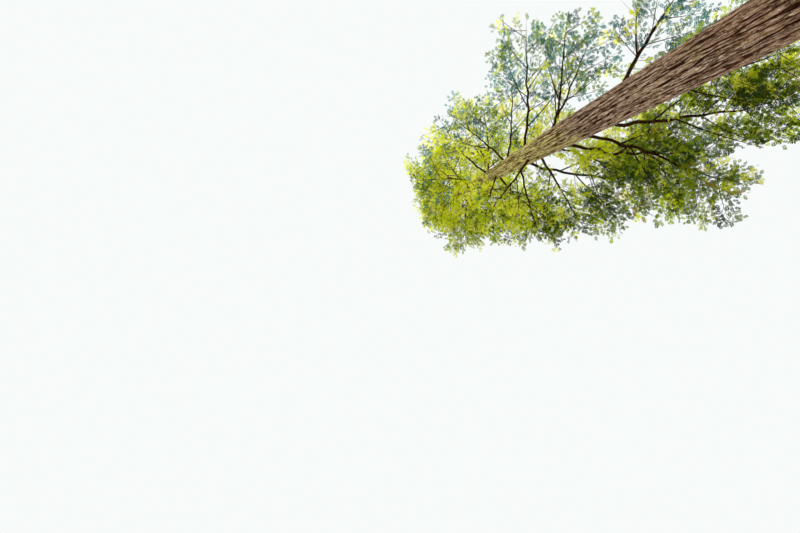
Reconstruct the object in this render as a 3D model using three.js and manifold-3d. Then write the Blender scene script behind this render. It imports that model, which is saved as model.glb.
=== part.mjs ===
// A coast redwood, 40 m tall, in millimetres with +Z up.
// The origin is the middle of the flat cut under the trunk, at ground level.
// The trunk runs whole from its root flare to its tip. Long boughs leave it low in the crown,
// and each ends where a flat fan of foliage takes over. Higher up the fans leave the trunk itself.
// Each fan is a stem with side twigs and toothed blades, one blade for each spray of needles.
import * as THREE from "three";
import { mergeVertices } from "three/addons/utils/BufferGeometryUtils.js";
import Module from "manifold-3d";

const wasm = await Module();
wasm.setup();

// Driving dimensions
const HEIGHT = 40000;
const STEM_RADIUS = 450; // of the trunk's shaft, before its taper and flare
const TIP_RADIUS = 14;
const TAPER_POWER = 2.2; // the shaft stays thick up to half its height, then thins to the tip
const FLARE = 400; // by which the foot is wider than the shaft
const FLARE_HEIGHT = 1150;
const SWAY = 70; // the trunk's slow curve off the plumb line
const BUTTRESSES = 7;
const BUTTRESS_DEPTH = 0.13; // of the radius, at the ground
const BUTTRESS_HEIGHT = 2400;
const RIB_DEPTH = 0.018; // of the radius, all the way up

const BOUGH_RADIUS = 62; // at the trunk, for the longest bough
const LONGEST_REACH = 5800;
const COLLAR = 0.3; // by which a bough swells where it leaves the trunk
const COLLAR_LENGTH = 160;
const BARE_SHARE = 0.36; // of a bough's reach, before its foliage starts
const FIT_GAP = 0.35; // between a limb and what carries it

// Boughs that show against the sky: height, compass angle in degrees from +X towards +Y,
// reach from the trunk's axis, how far the tip hangs below the root, sideways bow as a share of
// the reach, and girth where a bough is stouter than its reach makes it. The side that is seen
// from below is at -90.
const BOUGHS = [
  { height: 12500, angle: 56, reach: 3100, drop: 400, bend: 0, girth: 1.35 },
  { height: 13100, angle: 101, reach: 4700, drop: 900, bend: -0.03 },
  { height: 14150, angle: 113, reach: 5800, drop: 900, bend: 0.01 },
  { height: 15300, angle: 138, reach: 5300, drop: 1000, bend: -0.11 },
  { height: 16200, angle: 124, reach: 5200, drop: 1100, bend: 0.04 },
  { height: 16600, angle: 32, reach: 3800, drop: 750, bend: 0.1 },
  { height: 17400, angle: 137, reach: 3400, drop: 550, bend: -0.11 },
  { height: 17500, angle: 52, reach: 4100, drop: 400, bend: 0.07 },
  { height: 17950, angle: 182, reach: 3400, drop: 1000, bend: -0.09 },
  { height: 18150, angle: 248, reach: 3400, drop: 900, bend: -0.05 },
  { height: 19400, angle: 26, reach: 5000, drop: 870, bend: 0.09 },
  { height: 19850, angle: 130, reach: 5600, drop: 2450, bend: 0.03 },
  { height: 19950, angle: 197, reach: 3350, drop: 870, bend: -0.04 },
  { height: 21350, angle: 333, reach: 3350, drop: 950, bend: 0.09 },
  { height: 21800, angle: 29, reach: 3800, drop: 950, bend: 0.09 },
  { height: 22400, angle: 78, reach: 3700, drop: 800, bend: 0.07 },
  { height: 23000, angle: 225, reach: 3100, drop: 900, bend: 0.02 },
  { height: 23300, angle: 161, reach: 4100, drop: 1100, bend: 0.05 },
  { height: 24400, angle: 341, reach: 3750, drop: 900, bend: -0.05 },
];
const BOUGH_LIFT = 0.34; // slope at which a bough leaves the trunk

// Fans above the boughs climb the trunk by the golden angle
const TOP_FANS = 21;
const TOP_START = 25000;
const TOP_END = 39100;
const TOP_FIRST_ANGLE = 25;
const GOLDEN_ANGLE = 137.508;
const TOP_REACH = 4000; // of the lowest of these fans
const TIP_REACH = 900; // of the highest
const TOP_FALL = 0.72; // power by which the reach shrinks with height
const TOP_CROWDING = 0.86; // power by which fans stand closer together towards the tip
const TOP_LIFT = 0.42;
const TIP_LIFT = 1.25;
const TOP_SAG = 0.38;
const TOP_BEND = 0.07;

// Foliage: sprays leave each stem left and right in turn, and the stem ends in one more.
// A spray is a thin twig that widens to a flat toothed blade.
const TWIGS = 6;
const TWIG_START = 0.08; // of the stem's length
const TWIG_END = 0.84;
const TWIG_ANGLE = 56; // degrees from the stem
const TWIG_RISE = 34; // degrees, the most that a spray climbs beside its stem
const TWIG_FALL = 58; // and the most that it hangs
const TWIG_RADIUS = 12;
const SPRAY_REACH = 0.48; // of the stem's length
const SPRAY_LEAST = 700;
const SPRAY_SAG = 0.16; // of the spray's length
const SPRAY_ROLL = 62; // degrees, the most that a blade rolls either way
const BLADE_HEIGHT = 0.03; // of the spray's length
const BLADE_RINGS = [
  // share of the spray's length, half width as a share of it
  [0.26, 0.03],
  [0.46, 0.34],
  [0.58, 0.2],
  [0.74, 0.28],
  [1, 0],
];
const SPACE_MARGIN = 40; // by which foliage keeps to its own side of the space between two limbs
const LIMB_MARGIN = 60;
const SIZES = [1, 0.8, 0.62, 0.46]; // that a spray is tried at, before it is skipped

// Mesh fineness
const TRUNK_SIDES = 22;
const TRUNK_RINGS = 18;
const BOUGH_SIDES = 6;
const BOUGH_STEPS = 4;
const STEM_RINGS = 4;

const BARK = { color: 0x8a6a4c, roughness: 0.95, metalness: 0 };
const BOUGH_BARK = { color: 0x5d4330, roughness: 0.9, metalness: 0 };
const NEEDLES = { color: 0x5f8f22, roughness: 0.7, metalness: 0 };

const degrees = (angle) => (angle * Math.PI) / 180;
const mix = (a, b, t) => a + (b - a) * t;

// A fixed number between 0 and 1 for each pair of whole numbers.
function chance(seed, index) {
  const wave = Math.sin(seed * 12.9898 + index * 78.233) * 43758.5453;
  return wave - Math.floor(wave);
}

const either = (seed, index) => 2 * chance(seed, index) - 1;

// A three.js geometry as a manifold-3d solid, and back.
function solidOf(geometry) {
  const bare = geometry.clone();
  bare.deleteAttribute("normal");
  bare.deleteAttribute("uv");
  const merged = mergeVertices(bare, 1e-3);
  return new wasm.Manifold(
    new wasm.Mesh({
      numProp: 3,
      vertProperties: new Float32Array(merged.attributes.position.array),
      triVerts: new Uint32Array(merged.index.array),
    }),
  );
}

function geometryOf(solid) {
  const mesh = solid.getMesh();
  return new THREE.BufferGeometry()
    .setAttribute("position", new THREE.BufferAttribute(mesh.vertProperties, 3))
    .setIndex(new THREE.BufferAttribute(mesh.triVerts, 1));
}

// The largest body of a solid, which drops any loose scrap.
function largestBody(solid) {
  const bodies = solid.decompose();
  return bodies.reduce((best, body) => (body.volume() > best.volume() ? body : best));
}

// Moves each vertex of a geometry to where place(vertex) puts it.
function reshape(geometry, place) {
  const position = geometry.getAttribute("position");
  const vertex = new THREE.Vector3();
  for (let i = 0; i < position.count; i++) {
    place(vertex.fromBufferAttribute(position, i));
    position.setXYZ(i, vertex.x, vertex.y, vertex.z);
  }
  return geometry;
}

// The trunk's radius at a height, without its buttresses.
function trunkRadius(z) {
  const share = Math.min(Math.max(z / HEIGHT, 0), 1);
  const shaft = STEM_RADIUS * (1 - share ** TAPER_POWER);
  return Math.max(shaft, TIP_RADIUS) + FLARE * Math.exp(-z / FLARE_HEIGHT);
}

// Where the trunk's axis is at a height.
function trunkAxis(z) {
  const turn = (z / HEIGHT) * Math.PI;
  return new THREE.Vector3(SWAY * Math.sin(turn) ** 2, SWAY * Math.sin(turn * 2) * 0.5, z);
}

// How far the bark stands out at a compass angle, as a factor: buttresses at the foot, ribs above.
function fluting(angle, z) {
  const lobes = Math.cos(BUTTRESSES * angle + 0.8 * Math.sin(2 * angle + 0.6));
  const uneven = 0.5 * Math.sin(3 * angle + 1.1);
  const foot = BUTTRESS_DEPTH * Math.exp(-z / BUTTRESS_HEIGHT) * (lobes + uneven);
  const ribs = RIB_DEPTH * Math.cos(5 * angle + (z / HEIGHT) * 4);
  return 1 + foot + ribs;
}

// The trunk's surface, grown outwards by extra for cutting a limb clear of it.
function trunkGeometry(extra = 0) {
  const column = new THREE.CylinderGeometry(1, 1, 1, TRUNK_SIDES, TRUNK_RINGS);
  return reshape(column, (v) => {
    const share = v.y + 0.5;
    const z = HEIGHT * share ** 1.6;
    const angle = Math.atan2(v.x, v.z);
    const out = Math.hypot(v.x, v.z) * (trunkRadius(z) * fluting(angle, z) + extra);
    v.set(Math.cos(angle) * out, Math.sin(angle) * out, 0).add(trunkAxis(z));
  });
}

// A closed tapering tube along a curve. radiusAt takes the share of the curve's length.
function limbGeometry(curve, radiusAt, sides, steps) {
  const frames = curve.computeFrenetFrames(steps);
  const tube = new THREE.CylinderGeometry(1, 1, 1, sides, steps);
  return reshape(tube, (v) => {
    const step = Math.round((v.y + 0.5) * steps);
    const share = step / steps;
    const radius = radiusAt(share);
    const across = frames.binormals[step].clone().multiplyScalar(v.x * radius);
    const upward = frames.normals[step].clone().multiplyScalar(v.z * radius);
    v.copy(curve.getPointAt(share)).add(across).add(upward);
  });
}

// The line that a limb and its foliage follow, from the trunk's axis to the outermost tip.
// share runs along the reach, which is level.
function limbPath({ height, angle, reach, drop, lift, bend }) {
  const turn = degrees(angle);
  const out = new THREE.Vector3(Math.cos(turn), Math.sin(turn), 0);
  const side = new THREE.Vector3(-out.y, out.x, 0);
  const axis = trunkAxis(height);
  return (share) =>
    axis
      .clone()
      .addScaledVector(out, reach * share)
      .addScaledVector(side, bend * reach * Math.sin(Math.PI * share) * (1 - 0.5 * share))
      .setZ(height + lift * reach * share - (lift * reach + drop) * share * share);
}

// Part of a path as a smooth curve.
function curveAlong(path, from, to, points = 7) {
  const along = Array.from({ length: points }, (_, i) => path(mix(from, to, i / (points - 1))));
  return new THREE.CatmullRomCurve3(along);
}

// A limb's radius at a share of its reach.
function limbRadius(limb, share) {
  const root = BOUGH_RADIUS * (limb.girth ?? 1) * (limb.reach / LONGEST_REACH) ** 0.7;
  const away = limb.reach * share - trunkRadius(limb.height);
  const collar = 1 + COLLAR * Math.exp(-Math.max(away, 0) / COLLAR_LENGTH);
  return root * (1 - 0.78 * share) * collar;
}

const boughs = BOUGHS.map((bough, i) => ({
  ...bough,
  lift: BOUGH_LIFT,
  foliageFrom: BARE_SHARE + 0.05 * either(i, 1),
  seed: i,
  name: String(i + 1).padStart(2, "0"),
}));

const topFans = Array.from({ length: TOP_FANS }, (_, i) => {
  const share = i / (TOP_FANS - 1);
  const reach = mix(TIP_REACH, TOP_REACH, (1 - share) ** TOP_FALL);
  const lift = mix(TOP_LIFT, TIP_LIFT, share ** 2);
  return {
    height: mix(TOP_START, TOP_END, share ** TOP_CROWDING),
    angle: TOP_FIRST_ANGLE + GOLDEN_ANGLE * i,
    reach,
    drop: -reach * (lift - TOP_SAG),
    lift,
    bend: TOP_BEND * (i % 2 ? -1 : 1),
    foliageFrom: 0,
    seed: BOUGHS.length + i,
    name: String(i + 1).padStart(2, "0"),
  };
});

const limbs = [...boughs, ...topFans];
limbs.forEach((limb) => {
  limb.path = limbPath(limb);
});

// Straight pieces of every limb's line, for telling whose space a point is in.
const SPINE_PIECES = 8;
const spines = limbs.map((limb) =>
  Array.from({ length: SPINE_PIECES }, (_, i) =>
    new THREE.Line3(limb.path(i / SPINE_PIECES), limb.path((i + 1) / SPINE_PIECES)),
  ),
);

const nearestOn = new THREE.Vector3();

function distanceTo(spine, point) {
  return Math.min(
    ...spine.map((line) => line.closestPointToPoint(point, true, nearestOn).distanceTo(point)),
  );
}

// Whether a point is in the limb's own space, clear of the trunk, its bough and other limbs.
function inOwnSpace(limb, point) {
  const own = distanceTo(spines[limbs.indexOf(limb)], point);
  const trunk = point.clone().sub(trunkAxis(point.z)).length();
  if (trunk < trunkRadius(point.z) * (1 + RIB_DEPTH) + LIMB_MARGIN) return false;
  if (point.z > HEIGHT) return false;
  return spines.every((spine, i) => limbs[i] === limb || distanceTo(spine, point) > own + SPACE_MARGIN);
}

// A three-sided sweep through rings, closed by a flat end at the first and a point at the last.
// Each ring has its place, half its width, and its height above the line that it follows.
function sweepGeometry(rings, up) {
  const last = rings.length - 1;
  const cone = new THREE.CylinderGeometry(0, 1, 1, 3, last);
  return reshape(cone, (v) => {
    const i = Math.round((v.y + 0.5) * last);
    const { at, width, height } = rings[i];
    const ahead = rings[Math.min(i + 1, last)].at.clone().sub(rings[Math.max(i - 1, 0)].at);
    const across = ahead.normalize().clone().cross(up).normalize();
    const above = across.clone().cross(ahead);
    const angle = Math.atan2(v.x, v.z);
    const onEdge = Math.hypot(v.x, v.z) > 1e-6 ? 1 : 0;
    v.copy(at)
      .addScaledVector(across, (Math.sin(angle) / Math.sin(Math.PI / 3)) * width * onEdge)
      .addScaledVector(above, Math.cos(angle) * height * onEdge);
  });
}

// The rings of a blade, given where each share of its spray's length lies.
function bladeRings(placeAt, length) {
  return BLADE_RINGS.map(([share, width]) => ({
    at: placeAt(share),
    width: width * length,
    height: BLADE_HEIGHT * length,
  }));
}

// Whether each tooth and the tip of a blade is in the limb's own space.
function bladeFits(limb, rings, up) {
  return rings.every(({ at, width }, i) => {
    const before = rings[Math.max(i - 1, 0)].at;
    const across = at.clone().sub(before).cross(up).normalize().multiplyScalar(width);
    return [at, at.clone().add(across), at.clone().sub(across)].every((p) => inOwnSpace(limb, p));
  });
}

// A spray at the largest size that keeps to the limb's space, or nothing.
function fitSpray(limb, base, ahead, roll, length) {
  const up = new THREE.Vector3(0, 0, 1).applyAxisAngle(ahead, roll);
  for (const size of SIZES) {
    const own = length * size;
    const placeAt = (share) =>
      base
        .clone()
        .addScaledVector(ahead, share * own)
        .add(new THREE.Vector3(0, 0, -SPRAY_SAG * own * share * share));
    const blade = bladeRings(placeAt, own);
    const root = { at: base, width: TWIG_RADIUS, height: TWIG_RADIUS };
    if (bladeFits(limb, blade, up)) return solidOf(sweepGeometry([root, ...blade], up));
  }
  return null;
}

// The way a spray sets out from its stem.
function sprayDirection(limb, i, along) {
  const side = (i + limb.seed) % 2 ? 1 : -1;
  const level = along.clone().cross(new THREE.Vector3(0, 0, 1)).normalize();
  const swing = degrees(TWIG_ANGLE + 9 * either(limb.seed, 10 + i));
  const climbs = Math.floor(i / 2) % 2 === 0;
  const tilt = degrees(climbs ? TWIG_RISE : -TWIG_FALL) * mix(0.25, 1, chance(limb.seed, 20 + i));
  return along
    .clone()
    .multiplyScalar(Math.cos(swing))
    .addScaledVector(level, side * Math.sin(swing) * Math.cos(tilt))
    .add(new THREE.Vector3(0, 0, Math.sin(swing) * Math.sin(tilt)))
    .normalize();
}

// One mass of foliage: a stem that ends in a blade, and the sprays along it, fused into one body.
function foliageSolid(limb) {
  const inner = trunkRadius(limb.height) / limb.reach;
  const onTrunk = limb.foliageFrom === 0;
  const from = onTrunk ? inner * 0.6 : limb.foliageFrom - 0.01;
  const bareTo = onTrunk ? inner + 0.1 : from;
  const stem = curveAlong(limb.path, from, 1);
  const length = stem.getLength();
  const sprayLength = Math.max(SPRAY_REACH * length, SPRAY_LEAST);
  const bladeStart = 1 - sprayLength / length;
  const stemRings = Array.from({ length: STEM_RINGS }, (_, i) => {
    const u = (bladeStart * i) / (STEM_RINGS - 1);
    const radius = limbRadius(limb, mix(from, 1, u));
    return { at: stem.getPointAt(u), width: radius, height: radius };
  });
  const endBlade = bladeRings((share) => stem.getPointAt(mix(bladeStart, 1, share)), sprayLength);
  const up = new THREE.Vector3(0, 0, 1);
  const pieces = [solidOf(sweepGeometry([...stemRings, ...endBlade], up))];
  const start = Math.max(TWIG_START, (bareTo - from) / (1 - from));
  for (let i = 0; i < TWIGS; i++) {
    const u = mix(start, TWIG_END, i / (TWIGS - 1));
    const fullness = mix(0.62, 1, Math.sin(Math.PI * mix(0.15, 1, u)));
    const ahead = sprayDirection(limb, i, stem.getTangentAt(u));
    const roll = degrees(SPRAY_ROLL) * either(limb.seed, 30 + i);
    const spray = fitSpray(limb, stem.getPointAt(u), ahead, roll, sprayLength * fullness);
    if (spray) pieces.push(spray);
  }
  const whole = pieces.reduce((sum, piece) => sum.add(piece));
  return largestBody(onTrunk ? whole.subtract(trunkCutter) : cutAcross(whole, limb, 1));
}

const trunkCutter = solidOf(trunkGeometry(FIT_GAP));

// Keeps what lies past the end of a limb's bough (ahead = 1) or before it (ahead = -1),
// half a fit gap away from the plane between the two.
function cutAcross(solid, limb, ahead) {
  const middle = limb.path(limb.foliageFrom);
  const normal = limb
    .path(limb.foliageFrom + 0.01)
    .sub(limb.path(limb.foliageFrom - 0.01))
    .normalize()
    .multiplyScalar(ahead);
  return solid.trimByPlane(normal.toArray(), normal.dot(middle) + FIT_GAP / 2);
}

// One bough: a tapering limb from the trunk to where its foliage starts.
function boughSolid(limb) {
  const inner = (0.6 * trunkRadius(limb.height)) / limb.reach;
  const outer = limb.foliageFrom + 0.01;
  const curve = curveAlong(limb.path, inner, outer);
  const shareAt = (u) => mix(inner, outer, u);
  const tube = limbGeometry(curve, (u) => limbRadius(limb, shareAt(u)), BOUGH_SIDES, BOUGH_STEPS);
  return largestBody(cutAcross(solidOf(tube).subtract(trunkCutter), limb, -1));
}

function part(name, geometry, finish) {
  const mesh = new THREE.Mesh(geometry, new THREE.MeshStandardMaterial(finish));
  mesh.name = name;
  return mesh;
}

const tree = new THREE.Group();
tree.add(part("trunk", trunkGeometry(), BARK));
for (const limb of boughs) {
  tree.add(part(`bough_${limb.name}`, geometryOf(boughSolid(limb)), BOUGH_BARK));
  tree.add(part(`bough_foliage_${limb.name}`, geometryOf(foliageSolid(limb)), NEEDLES));
}
for (const limb of topFans) {
  tree.add(part(`top_foliage_${limb.name}`, geometryOf(foliageSolid(limb)), NEEDLES));
}

export default tree;
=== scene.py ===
"""A coast redwood, 40 m tall, seen from the ground beside it, looking up along its trunk.
Metres, +Z up, with the origin at the middle of the flat cut under the trunk.
The limbs follow the same lines as the solids, and their foliage grows by the same rule, carried
on to the last twigs and their needles."""

import math

import bpy
import numpy as np
from mathutils import Matrix, Vector


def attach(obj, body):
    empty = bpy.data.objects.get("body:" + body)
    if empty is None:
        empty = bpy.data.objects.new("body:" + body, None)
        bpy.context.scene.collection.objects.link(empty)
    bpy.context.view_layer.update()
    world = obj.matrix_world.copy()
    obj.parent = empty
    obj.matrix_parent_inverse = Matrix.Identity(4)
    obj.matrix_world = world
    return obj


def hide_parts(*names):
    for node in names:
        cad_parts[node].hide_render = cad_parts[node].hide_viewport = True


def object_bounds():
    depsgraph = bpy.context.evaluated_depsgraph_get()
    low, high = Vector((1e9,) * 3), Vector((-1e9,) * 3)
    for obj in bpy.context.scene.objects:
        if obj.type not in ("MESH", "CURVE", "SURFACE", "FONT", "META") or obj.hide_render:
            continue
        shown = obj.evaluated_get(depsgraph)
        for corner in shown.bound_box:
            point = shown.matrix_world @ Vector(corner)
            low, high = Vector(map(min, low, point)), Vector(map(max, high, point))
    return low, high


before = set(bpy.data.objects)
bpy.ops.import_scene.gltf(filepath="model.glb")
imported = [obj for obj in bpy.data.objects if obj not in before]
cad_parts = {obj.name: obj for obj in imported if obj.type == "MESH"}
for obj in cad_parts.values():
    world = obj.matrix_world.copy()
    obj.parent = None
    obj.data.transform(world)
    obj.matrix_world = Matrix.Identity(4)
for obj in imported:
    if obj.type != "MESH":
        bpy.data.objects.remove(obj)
CAD_LOW, CAD_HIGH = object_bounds()

# The trunk, as in the solids
HEIGHT = 40.0
STEM_RADIUS = 0.45  # of the trunk's shaft, before its taper and flare
TIP_RADIUS = 0.014
TAPER_POWER = 2.2
FLARE = 0.4  # by which the foot is wider than the shaft
FLARE_HEIGHT = 1.15
SWAY = 0.07
BUTTRESSES = 7
BUTTRESS_DEPTH = 0.13  # of the radius, at the ground
BUTTRESS_HEIGHT = 2.4
RIB_DEPTH = 0.018  # of the radius, all the way up

# The boughs, as in the solids: height, angle, reach, drop, sideways bow, and girth where it isn't 1
BOUGHS = [
    (12.5, 56, 3.1, 0.4, 0, 1.35),
    (13.1, 101, 4.7, 0.9, -0.03),
    (14.15, 113, 5.8, 0.9, 0.01),
    (15.3, 138, 5.3, 1, -0.11),
    (16.2, 124, 5.2, 1.1, 0.04),
    (16.6, 32, 3.8, 0.75, 0.1),
    (17.4, 137, 3.4, 0.55, -0.11),
    (17.5, 52, 4.1, 0.4, 0.07),
    (17.95, 182, 3.4, 1, -0.09),
    (18.15, 248, 3.4, 0.9, -0.05),
    (19.4, 26, 5, 0.87, 0.09),
    (19.85, 130, 5.6, 2.45, 0.03),
    (19.95, 197, 3.35, 0.87, -0.04),
    (21.35, 333, 3.35, 0.95, 0.09),
    (21.8, 29, 3.8, 0.95, 0.09),
    (22.4, 78, 3.7, 0.8, 0.07),
    (23, 225, 3.1, 0.9, 0.02),
    (23.3, 161, 4.1, 1.1, 0.05),
    (24.4, 341, 3.75, 0.9, -0.05),
]
BOUGH_RADIUS = 0.062  # at the trunk, for the longest bough
LONGEST_REACH = 5.8
ROOT_POWER = 0.7  # by which a limb's radius follows its reach
LIMB_TAPER = 0.78  # of a limb's radius, lost by its tip
COLLAR = 0.3  # by which a limb swells where it leaves the trunk
COLLAR_LENGTH = 0.16
BARE_SHARE = 0.36  # of a bough's reach, before its foliage starts
BARE_SPREAD = 0.05
BOUGH_LIFT = 0.34  # slope at which a bough leaves the trunk

# The fans above them, as in the solids
TOP_FANS = 21
TOP_START = 25.0
TOP_END = 39.1
TOP_FIRST_ANGLE = 25
GOLDEN_ANGLE = 137.508
TOP_REACH = 4.0
TIP_REACH = 0.9
TOP_FALL = 0.72
TOP_CROWDING = 0.86
TOP_LIFT = 0.42
TIP_LIFT = 1.25
TOP_SAG = 0.38
TOP_BEND = 0.07

# The sprays, as in the solids
TWIGS = 6
TWIG_START = 0.08  # of the stem's length
TWIG_END = 0.84
TWIG_ANGLE = 56  # degrees from the stem
TWIG_SPREAD = 9
TWIG_RISE = 34  # degrees, the most that a spray climbs beside its stem
TWIG_FALL = 58  # and the most that it hangs
SPRAY_REACH = 0.48  # of the stem's length
SPRAY_LEAST = 0.7
SPRAY_SAG = 0.16  # of the spray's length
SPRAY_ROLL = 62  # degrees, the most that a spray rolls either way
SPACE_MARGIN = 0.04  # by which foliage is nearer its own limb than any other
LIMB_MARGIN = 0.06
SIZES = (1, 0.8, 0.62, 0.46)  # that a spray is tried at, before it is skipped
END_SPRAY = 0.75  # size of the spray that a stem ends in, of its side sprays'
SPINE_PIECES = 8

# The bark
TRUNK_SIDES = 256
TRUNK_RINGS = 320
FURROW_DEPTH = 0.036
FOOT_FURROWS = 0.7  # by which the furrows are deeper at the ground
FURROWS = 25
FINER_FURROWS = 43
FINER_WIDTH = 0.3  # of the ridge between two of them
BARK_LEVEL = 0.72  # the relief that lies on the solid's own surface
BARK_STRETCH = 9.0  # height over which the bark's features come to twice their length
BARK_RUN = 14.0  # the larger it is, the shorter are all of them

# The wood of the limbs
LIMB_POINTS = 41  # along a limb, for what grows on it
WOOD_POINTS = 34  # and for its wood
WOOD_SIDES = 10
WOOD_FULLNESS = 1.5  # power by which a limb keeps its thickness outwards
CROOK = 0.022  # of the reach, the most that a limb strays from its line
LUMPS = 0.13  # of the radius
FORK_REACH = 1.6  # of limb for each fork
FORK_END = 0.68  # of the reach, where the last fork leaves
FORK_ANGLE = 34  # degrees from the limb, and up to FORK_SPREAD more
FORK_SPREAD = 10
FORK_TILT = 22
FORK_LENGTH = 0.72  # of the rest of the limb
FORK_SAG = 0.1
FORK_BEND = 0.16  # of its length, back along the limb
FORK_RADIUS = 0.6  # of the limb's there
FORK_TAPER = 0.82
FORK_POINTS = 9
FORK_SIDES = 7

# The sprays that the looks add
SPRAY_POINTS = 6
HALF_SPRAY = 0.3  # half width of a spray, of its length
EXTRA_SPRAYS = 9  # finer sprays on each stem, between those of the solids
SHADED_SPRAYS = 5  # and as many more on the shaded side
TOP_SPRAYS = 2  # or on the fans round the upper trunk
EXTRA_SIZE = 0.7
EXTRA_SPREAD = 16
EXTRA_FALL = 16
EXTRA_RISE = 52
HANGING_SPRAYS = 4  # that hang edge on to the view from below
FORK_SPRAYS = 5
FORK_SPRAY_SIZE = 0.62
FORK_SPRAY_SPREAD = 12
OPEN_ANGLES = (10, 235)  # compass angles of the sides where the foliage is thinnest
OPEN_POWER = 0.7
OPEN_SHARE = 0.74  # of the extra sprays that are left out there
OPEN_BRANCHLETS = 0.38  # and of the finer twigs
OPEN_HEIGHTS = (29.0, 23.0)  # none above the first, all below the second
SHADED_ANGLE = 135  # compass angle of the side where it is thickest
TUFTS = 110  # short sprays straight from the upper trunk
TUFTS_FROM = 22.0
TUFTS_TO = 39.3
TUFT_CROWDING = 0.85
TUFT_FIRST_ANGLE = 70
TUFT_LENGTH = 0.95
TIP_TUFT = 0.55  # size of the highest ones, of the lowest ones'
LOW_TUFTS = 16  # longer ones below them, on the shaded side
LOW_TUFTS_FROM = 16.5
LOW_TUFT_SPREAD = 65
LOW_TUFT_LENGTH = 1.4
TUFT_SAG = 0.2
TUFT_ROLL = 30
REACH_MARGIN = 0.02  # by which foliage may pass the solids' box

# The finer twigs and the needles
LOWER_GROUPS = 4  # of boughs, each with a piece of twigs and one of needles
UPPER_GROUPS = 3
FOLIAGE_SEED = 7000
COARSE = 1.5  # by which twigs and needles grow larger, and fewer, between two heights
COARSE_HEIGHTS = (17, 30)
TWIG_RADIUS = 0.015
BRANCHLET_STEP = 0.09  # along a spray, left and right in turn
BRANCHLET_REACH = 0.42  # of its spray's length
BRANCHLET_START = 0.12  # of the spray, bare at its foot
BRANCHLET_LEAST = 0.08
BRANCHLET_ANGLE = (52, 14)  # degrees, and how far it varies either way
END_BRANCHLET = 0.12
TWIGLET_STEP = 0.097  # along a branchlet
TWIGLET_LENGTH = 0.16
TWIGLET_HALF_WIDTH = 0.0022
TWIGLET_ANGLE = (46, 16)
NEEDLE_PAIRS = 7
NEEDLE_LENGTH = 0.082
NEEDLE_WIDTH = 0.026
NEEDLE_ANGLE = (54, 12)
TINTS = [
    # name, colour, colour of the light let through
    # lime and yellow are painted light, the glow of sunlit needles; green and deep are painted
    # shade
    ("lime", (0.46, 0.52, 0.008), (0.92, 1.0, 0.01)),
    ("yellow", (0.72, 0.72, 0.06), (1.0, 1.0, 0.1)),
    ("leaf", (0.23, 0.3, 0.006), (0.5, 0.64, 0.008)),
    ("green", (0.1, 0.15, 0.006), (0.22, 0.34, 0.008)),
    ("deep", (0.025, 0.045, 0.003), (0.05, 0.1, 0.004)),
    ("sage", (0.1, 0.18, 0.05), (0.22, 0.38, 0.09)),
    ("teal", (0.05, 0.17, 0.155), (0.12, 0.34, 0.32)),
    ("pine", (0.012, 0.065, 0.06), (0.03, 0.14, 0.13)),
    ("bronze", (0.26, 0.19, 0.015), (0.5, 0.38, 0.02)),
]
SLIM_TINTS = ("sage", "teal", "pine")  # on the open side, where single needles show
SLIM_SHARE = 0.85  # of the others' width
SPRAY_TINTS = (0.5, 0.28, 0.22)  # shares of the three tints that a spray has

# The floor and the light
FLOOR_RADIUS = 18
FLOOR_SIDES = 96
FLOOR_COLOUR = (0.38, 0.375, 0.36)
SUN_STRENGTH = 4.2
SUN_WIDTH = 20  # degrees
SUN_COLOUR = (1.0, 0.94, 0.8)
SUN_WAY = (-0.28, -0.2, -1.0)

# The photograph's frame, and where its view lies in it
IMAGE_WIDTH = 800
IMAGE_HEIGHT = 533
SENSOR_WIDTH = 36
LENS = 20.25
ZENITH_PIXEL = (374, 241)
TRUNK_PIXEL = (734.8, 43.0)
CAMERA_PLACE = (0, -7.0, 1.07)
VIEW_DEPTH = 500


# Numbers and noise


def chance(seed, index):
    """A fixed number between 0 and 1 for each pair of whole numbers, the same as in the solids."""
    wave = math.sin(seed * 12.9898 + index * 78.233) * 43758.5453
    return wave - math.floor(wave)


def either(seed, index):
    """The same between -1 and 1."""
    return 2 * chance(seed, index) - 1


def about(rng, middle, spread, n):
    """Random numbers, spread evenly about a middle."""
    return middle + spread * rng.uniform(-1, 1, n)


def mix(a, b, t):
    return a + (b - a) * t


def between(value, start, end):
    """How far a value has come from start to end, from 0 to 1."""
    return np.clip((value - start) / (end - start), 0, 1)


def unit(v):
    return v / np.maximum(np.linalg.norm(v, axis=-1, keepdims=True), 1e-9)


def corner_slopes(x, y, z, seed):
    """A fixed unit vector for each corner of a grid."""
    h = (x * 73856093) ^ (y * 19349663) ^ (z * 83492791) ^ (seed * 40503)
    h = ((h ^ (h >> 13)) * 1274126177) & 0xFFFFFFFF
    h = (h ^ (h >> 16)) & 0xFFFFFF
    turn = (h & 0xFFF) / 0xFFF * 2 * math.pi
    level = (h >> 12) / 0xFFF * 2 - 1
    flat = np.sqrt(1 - level**2)
    return np.stack([flat * np.cos(turn), flat * np.sin(turn), level], -1)


def noise(points, seed):
    """Smooth noise, mostly between -1 and 1, at points (n, 3), its features one unit across."""
    cell = np.floor(points).astype(np.int64)
    f = points - cell
    ease = f * f * f * (f * (f * 6 - 15) + 10)
    total = 0
    for dx in (0, 1):
        for dy in (0, 1):
            for dz in (0, 1):
                weight = 1
                for axis, step in enumerate((dx, dy, dz)):
                    weight = weight * (ease[:, axis] if step else 1 - ease[:, axis])
                slopes = corner_slopes(cell[:, 0] + dx, cell[:, 1] + dy, cell[:, 2] + dz, seed)
                total = total + weight * (slopes * (f - [dx, dy, dz])).sum(-1)
    return total * 1.6


# The trunk's and limbs' lines


def trunk_radius(z):
    """The trunk's radius at a height, without its buttresses."""
    share = np.clip(np.asarray(z, float) / HEIGHT, 0, 1)
    shaft = STEM_RADIUS * (1 - share**TAPER_POWER)
    return np.maximum(shaft, TIP_RADIUS) + FLARE * np.exp(-np.asarray(z, float) / FLARE_HEIGHT)


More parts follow.
